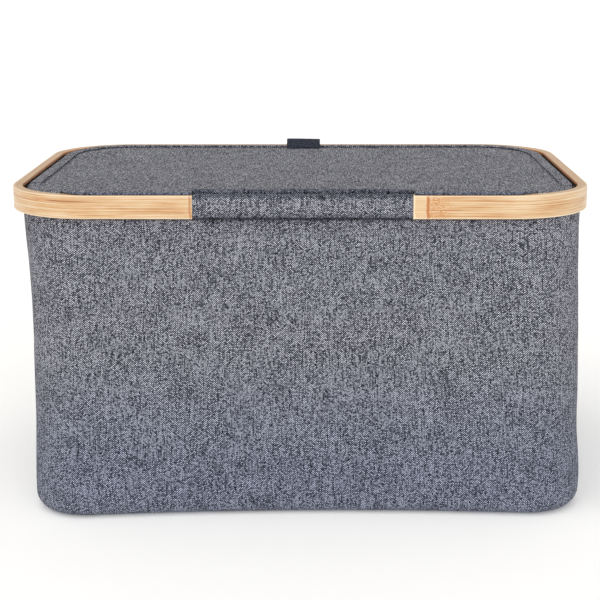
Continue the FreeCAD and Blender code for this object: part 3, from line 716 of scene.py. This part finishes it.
# the binding folded round three edges
edge = HALF_X - binding_hi.x
low, high = binding_lo.z, binding_hi.z
binding_path = [(edge + 0.0120, high - 0.00025), (edge + 0.0117, high + 0.0002), (edge + 0.0105, high + 0.0003),
                (edge + 0.0070, high + 0.0002), (edge + 0.0035, high + 0.00025), (edge + 0.0016, high - 0.0001),
                (edge + 0.0005, high - 0.001), (edge, high - 0.0026), (edge, low + 0.0032),
                (edge + 0.0005, low + 0.0014), (edge + 0.0016, low + 0.0003), (edge + 0.0035, low),
                (edge + 0.0070, low), (edge + 0.0105, low - 0.0001), (edge + 0.0120, low + 0.0002)]
BINDING_END = binding_lo.y
# rolls a ring so that it starts in the middle of the front
FRONT_FIRST = -(LONG_STEPS + 2 * ARC_STEPS + SHORT_STEPS)
columns = None
rows = []
for inset, z in binding_path:
    ring = np.roll(rim_ring(inset, z), FRONT_FIRST, axis=0)
    if columns is None:
        columns = ring[:, 1] >= BINDING_END
    ring = ring[columns]
    ring[:, 2] += lift(ring[:, 0], ring[:, 1]) + rumple(ring, 0.02, 6) * 0.00012
    if z > (low + high) / 2:
        run = lengths(ring)
        ring[:, 2] -= 0.0012 * smooth(0.022, 0.002, np.minimum(run, run[-1] - run))
    rows.append(ring)
binding = thicken(surface("lid_edge_binding", rows, MELANGE, flip=True), 0.0008)
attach(binding, "lid")
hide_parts("lid_binding")
seam = rows[2] + (rows[3] - rows[2]) * 0.35
up = np.tile([0.0, 0.0, 1.0], (len(seam), 1))
lid_seam = tube("lid_seam_stitches", stitches(seam, up, 0.0040, 0.0031), 0.00028, DARK_THREAD)
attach(lid_seam, "lid")

# ---------------------------------------------------------------- sleeve, roll and leaf of the hinge
front, back = sleeve_lo.y, sleeve_hi.y
low, high = sleeve_lo.z, sleeve_hi.z
leaf_y, leaf_z = strip_hi.y, cover_hi.z + 0.0009
flap_path = [(back + 0.0006, high - 0.0012), (back + 0.0006, low + 0.003), (back - 0.0002, low + 0.0003),
             (back - 0.002, low - 0.0006), (front + 0.003, low - 0.0008), (front + 0.0008, low - 0.0002),
             (front - 0.0006, low + 0.0020), (front - 0.0007, low + 0.007), (front - 0.0006, high - 0.006),
             (front - 0.0004, high - 0.0022), (front + 0.0008, high - 0.0001), (front + 0.0028, high + 0.0006),
             (back - 0.0030, high + 0.0004), (back - 0.0006, high - 0.0004), (AXIS_Y - 0.0036, high - 0.0002),
             (AXIS_Y - 0.0038, AXIS_Z + 0.0002), (AXIS_Y - 0.0024, AXIS_Z + 0.0016), (AXIS_Y, AXIS_Z + 0.0021),
             (AXIS_Y + 0.0030, AXIS_Z + 0.0018), (AXIS_Y + 0.0070, AXIS_Z + 0.0008),
             (AXIS_Y + 0.0120, AXIS_Z - 0.0012),
             (leaf_y - 0.004, None), (leaf_y - 0.001, None), (leaf_y, None)]
path = []
for py, pz in flap_path:
    path.append((py, leaf_z + float(lift(0.0, np.float64(py))) if pz is None else pz))
path = np.array(path)


def refine(points, count):
    """A Catmull-Rom curve through points, as count points evenly spaced."""
    ends = np.vstack([2 * points[0] - points[1], points, 2 * points[-1] - points[-2]])
    curve = []
    for a, b, c, d in zip(ends, ends[1:], ends[2:], ends[3:]):
        for t in np.linspace(0, 1, 12, endpoint=False):
            curve.append(0.5 * (2 * b + (c - a) * t + (2 * a - 5 * b + 4 * c - d) * t**2
                                + (3 * b - a - 3 * c + d) * t**3))
    curve = np.array(curve + [points[-1]])
    run = lengths(curve)
    at = np.linspace(0, run[-1], count)
    return np.stack([np.interp(at, run, curve[:, k]) for k in range(points.shape[1])], axis=1)


path = refine(path, 84)
flap_x = np.linspace(sleeve_lo.x, sleeve_hi.x, 92)
grid = np.zeros((len(path), len(flap_x), 3))
for i, (py, pz) in enumerate(path):
    grid[i] = np.column_stack([flap_x, np.full_like(flap_x, py), np.full_like(flap_x, pz)])
run = lengths(path)
across = np.array([path[min(i + 1, len(path) - 1)] - path[max(i - 1, 0)] for i in range(len(path))])
across /= np.linalg.norm(across, axis=1)[:, None]
normal = np.column_stack([np.zeros(len(path)), -across[:, 1], across[:, 0]])
wave = np.dstack([grid[:, :, 0], np.tile(run[:, None], (1, len(flap_x))), np.zeros(grid.shape[:2])])
roll = np.exp(-(((path[:, 0] - AXIS_Y) / 0.006) ** 2)) * (path[:, 1] > high)
amount = (0.00025 + 0.0009 * roll)[:, None]
push = rumple(wave * np.array([1, 0.6, 1]), 0.034, 9) * amount + rumple(wave, 0.012, 11) * amount * 0.35
grid += normal[:, None, :] * push[:, :, None]
# the sleeve's ends pull in a little where they are turned under
end = np.minimum(flap_x - flap_x[0], flap_x[-1] - flap_x)
grid -= normal[:, None, :] * (np.exp(-((end / 0.0022) ** 2)) * 0.0005)[None, :, None]
front_face = path[:, 0] < front + 0.0002
LOWER_EDGE = -float(run[np.argmax(front_face)]) - 0.0010
CREASE_LOW = -float(run[len(front_face) - 1 - np.argmax(front_face[::-1])]) + 0.0022
CREASE_HIGH = -float(run[np.argmax(path[:, 1])]) - 0.0010
front_flap = thicken(surface("front_flap", grid, melange("melange_flap", flap_shadows), flip=True), 0.0010)
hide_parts("rim_sleeve", "hinge_strip")
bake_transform(front_flap)

# the lid's front edge lies over the rim on each side of the sleeve, and runs out before the corner
LIP_TAPER, LIP_END = 0.215, 0.243
lip_path = [(0.0016, 0.0004), (0.0010, 0.0010), (0.0011, 0.0018), (0.0020, 0.0025), (0.0050, 0.0029),
            (0.0100, 0.0031), (0.0145, 0.0032), (0.0190, 0.0026), (0.0240, None)]
for side, name in ((-1, "lid_lip_left"), (1, "lid_lip_right")):
    start = (sleeve_lo.x if side < 0 else -sleeve_hi.x) - 0.0006
    rows = []
    ring = np.roll(rim_ring(0, 0), FRONT_FIRST, axis=0)
    columns = (ring[:, 1] < 0) & (ring[:, 0] * side > -start) & (ring[:, 0] * side < LIP_END)
    for inset, above in lip_path:
        ring = np.roll(rim_ring(inset, RIM_TOP), FRONT_FIRST, axis=0)[columns]
        back = smooth(LIP_TAPER, LIP_END, np.abs(ring[:, 0])) * 0.0095 * (0.0240 - inset) / 0.0230
        ring[:, 1] += back
        lid_z = cover_hi.z + 0.0005 + lift(ring[:, 0], ring[:, 1])
        ring[:, 2] = lid_z if above is None else np.maximum(RIM_TOP + above, lid_z * (inset > 0.012))
        rows.append(ring)
    lip = thicken(surface(name, rows, LIP_CLOTH, flip=True), 0.0008)
    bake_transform(lip)

leaf_seam = grid[-4] + np.array([0, 0, 0.0002])
up = np.tile([0.0, 0.0, 1.0], (len(leaf_seam), 1))
flap_seam = tube("flap_seam_stitches", stitches(leaf_seam, up, 0.0036, 0.0028), 0.00028, THREAD)
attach(flap_seam, "lid")

# ---------------------------------------------------------------- pull tab
tab_y, tab_top = (tab_lo.y + tab_hi.y) / 2, tab_hi.z - 0.0010
foot_z = binding_hi.z + 0.0006 + float(lift(0.0, np.float64(tab_y)))
fore_y = tab_y - 0.0200
fore_z = cover_hi.z + 0.0009 + float(lift(0.0, np.float64(fore_y)))
tab_path = refine(np.array([(fore_y - 0.0004, fore_z), (fore_y, fore_z + 0.0008), (fore_y + 0.0020, fore_z + 0.0024),
                            (fore_y + 0.0080, fore_z + 0.0054), (tab_y - 0.0060, fore_z + 0.0086),
                            (tab_y - 0.0022, tab_top - 0.0012), (tab_y - 0.0008, tab_top - 0.0001),
                            (tab_y + 0.0004, tab_top), (tab_y + 0.0013, tab_top - 0.0012),
                            (tab_y + 0.0014, tab_top - 0.0040), (tab_y + 0.0012, foot_z + 0.003),
                            (tab_y + 0.0014, foot_z)]), 56)
tab_x = np.linspace(tab_lo.x, tab_hi.x, 26)
grid = np.zeros((len(tab_path), len(tab_x), 3))
for i, (py, pz) in enumerate(tab_path):
    grid[i] = np.column_stack([tab_x, np.full_like(tab_x, py), np.full_like(tab_x, pz)])
grid[:, :, 1] += 0.0006 * np.sin((grid[:, :, 0] - tab_lo.x) * 60)
slump = smooth(foot_z + 0.003, tab_top, tab_path[:, 1])
grid[:, :, 2] -= (0.0006 * smooth(-0.01, 0.0205, tab_x))[None, :] * slump[:, None]
pull_tab = thicken(surface("pull_tab_tape", grid, WEBBING, flip=True), 0.0009)
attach(pull_tab, "lid")
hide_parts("pull_tab")

# ---------------------------------------------------------------- seams and stitches on the bag
ring_z = bag_ring(BAG_TOP - 0.014)
dash_at = int(np.argmin(np.hypot(ring_z[:, 0] + 0.202, ring_z[:, 1] + 0.19)))
dash = np.array([bag_ring(z)[dash_at] for z in np.linspace(BAG_TOP - 0.006, BAG_TOP - 0.024, 12)])
toward = np.tile([0.0, -1.0, 0.0], (len(dash), 1))
bag_dash = tube("bag_bartack", stitches(dash, toward, 0.0030, 0.0022), 0.0003, DARK_THREAD)
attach(bag_dash, "basket")
hem_line = rim_ring(0.0157, hem_lo.z + 0.0040)
hem_line = np.vstack([hem_line, hem_line[:1]])
_, outward = outline(HALF_X, HALF_Y, RIM_RADIUS)
toward = -np.column_stack([outward, np.zeros(len(outward))])
toward = np.vstack([toward, toward[:1]])
hem_seam = tube("hem_seam_stitches", stitches(hem_line + toward * 0.0008, toward, 0.0045, 0.0034), 0.0003, THREAD)
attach(hem_seam, "basket")

# ---------------------------------------------------------------- floor, light and camera
bpy.ops.mesh.primitive_plane_add(size=240, location=(0, 80, 0))
floor = bpy.context.object
floor.name = "floor"
floor_shade = Shade("floor_white", Roughness=0.9, Specular_IOR_Level=0.0, Emission_Strength=0.14,
                    Emission_Color=(1, 1, 1, 1))
floor_x, floor_y = floor_shade.place()[:2]
floor.data.materials.append(floor_shade.finish(floor_shade.ramp(
    floor_shade.noise(floor_shade.join(floor_x, floor_y), scale=0.7),
    (0.3, (0.96, 0.96, 0.96, 1)), (0.7, (0.98, 0.98, 0.98, 1)))))

SKY_STRENGTH, SKY_EXTRA = 0.62, 0.40         # the extra is for camera rays only, so that the background is white
world = bpy.data.worlds.new("studio")
bpy.context.scene.world = world
world.use_nodes = True
world.node_tree.nodes["Background"].inputs[0].default_value = (1.0, 0.985, 0.96, 1)
seen = world.node_tree.nodes.new("ShaderNodeLightPath")
strength = world.node_tree.nodes.new("ShaderNodeMath")
strength.operation = "MULTIPLY_ADD"
strength.inputs[1].default_value, strength.inputs[2].default_value = SKY_EXTRA, SKY_STRENGTH
world.node_tree.links.new(seen.outputs["Is Camera Ray"], strength.inputs[0])
world.node_tree.links.new(strength.outputs[0], world.node_tree.nodes["Background"].inputs[1])


def sun(name, direction, strength, spread, colour):
    """A broad soft sun that shines from that direction."""
    light = bpy.data.lights.new(name, "SUN")
    light.energy, light.angle, light.color = strength, math.radians(spread), colour
    lamp = bpy.data.objects.new(name, light)
    bpy.context.scene.collection.objects.link(lamp)
    lamp.rotation_euler = Vector(direction).to_track_quat("Z", "Y").to_euler()


sun("key", (-0.35, -0.60, 1.0), 1.05, 70, (1.0, 0.98, 0.93))
sun("fill", (0.25, -1.0, 0.25), 0.90, 60, (0.88, 0.94, 1.0))

CAMERA_PLACE = (0.026, -1.593, RIM_TOP + 0.230)
CAMERA_TURN, CAMERA_DOWN, CAMERA_ROLL = (math.radians(a) for a in (1.0, 90 - 13.57, -0.16))
camera_data = bpy.data.cameras.new("camera")
camera_data.lens, camera_data.sensor_width = 85.35, 36
camera_data.clip_start, camera_data.clip_end = 0.05, 400
camera = bpy.data.objects.new("camera", camera_data)
bpy.context.scene.collection.objects.link(camera)
camera.matrix_world = (Matrix.Translation(CAMERA_PLACE) @ Matrix.Rotation(CAMERA_TURN, 4, "Z")
                       @ Matrix.Rotation(CAMERA_DOWN, 4, "X") @ Matrix.Rotation(CAMERA_ROLL, 4, "Z"))
bpy.context.scene.camera = camera
bpy.context.scene.view_settings.view_transform = "Standard"
bpy.context.scene.cycles.denoising_prefilter = "NONE"      # keeps the weave from being smeared
